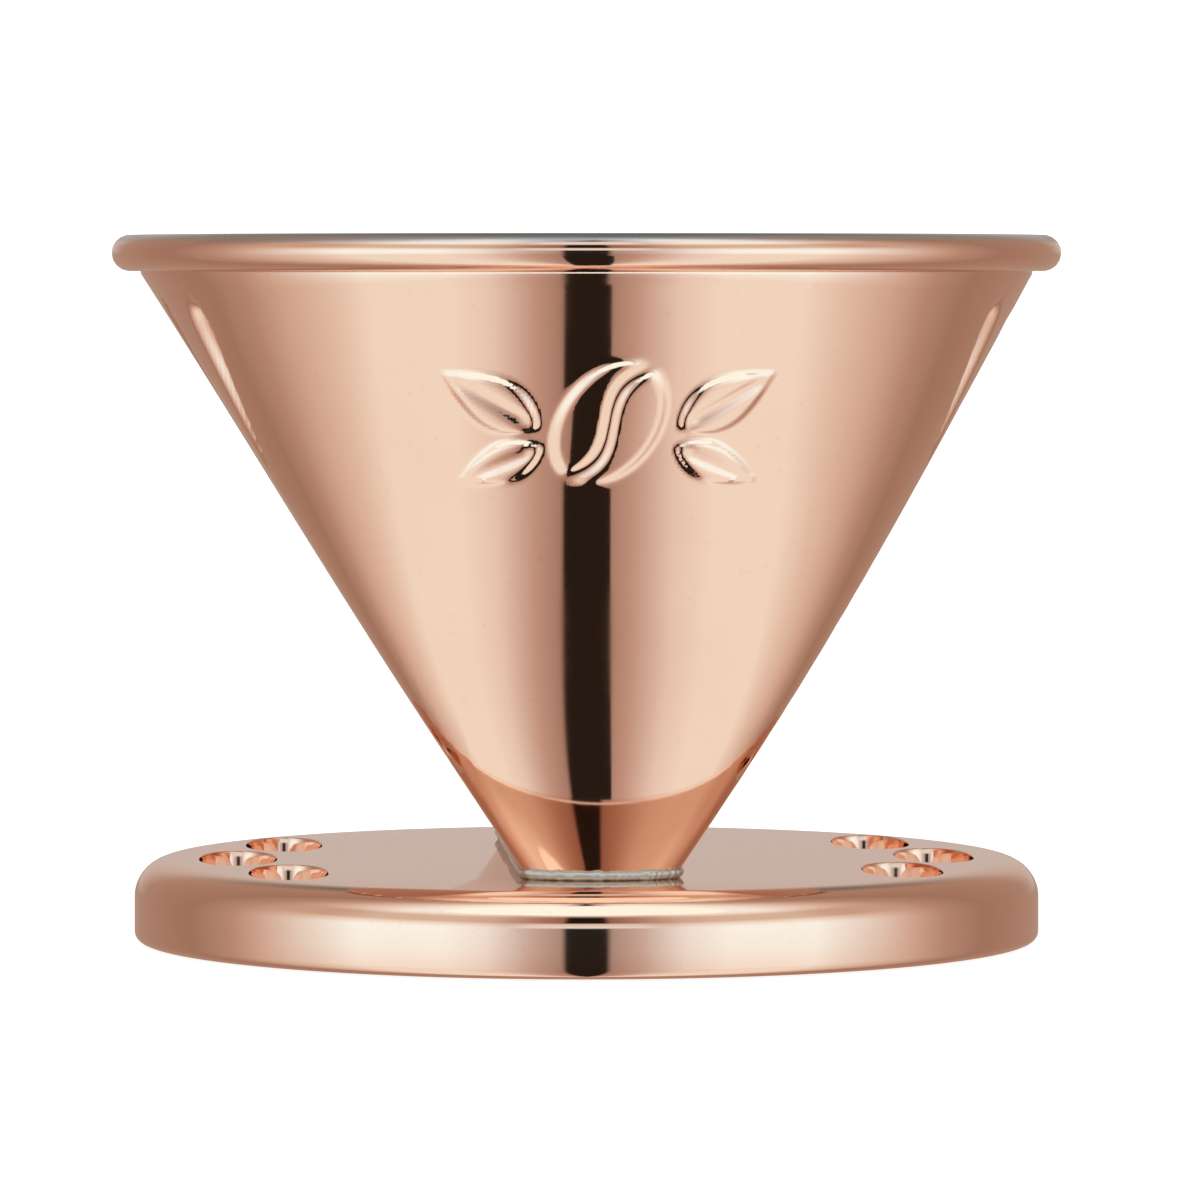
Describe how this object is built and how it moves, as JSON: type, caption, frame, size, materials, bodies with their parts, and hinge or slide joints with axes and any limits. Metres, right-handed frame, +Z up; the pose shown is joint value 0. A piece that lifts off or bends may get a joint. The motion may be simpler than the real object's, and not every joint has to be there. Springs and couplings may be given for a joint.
{
  "type": "pour over dripper",
  "caption": "Polished copper coffee dripper: round rolled rim narrowing to a slotted neck, soldered through a pressed round base with oval sight holes, strip handle at the back.",
  "frame": {"origin": "centre of the bounding box in plan, on the surface that the base stands on", "axes": "+Z up along the funnel's axis, +Y along the slot of the neck towards the handle, +X across the slot"},
  "size_m": [0.12, 0.148, 0.0892],
  "materials": {
    "polished_copper": "polished copper, tin lined inside",
    "base_copper": "polished copper",
    "handle_copper": "polished copper",
    "tin_solder": "satin tin solder",
    "wire_steel": "drawn wire"
  },
  "bodies": {
    "root": {"funnel_body": "polished_copper", "rim_wire": "wire_steel", "base_plate": "base_copper", "neck_solder_top": "tin_solder", "neck_solder_under": "tin_solder", "handle": "handle_copper", "handle_solder_top": "tin_solder", "handle_solder_bottom": "tin_solder"}
  },
  "joints": []
}
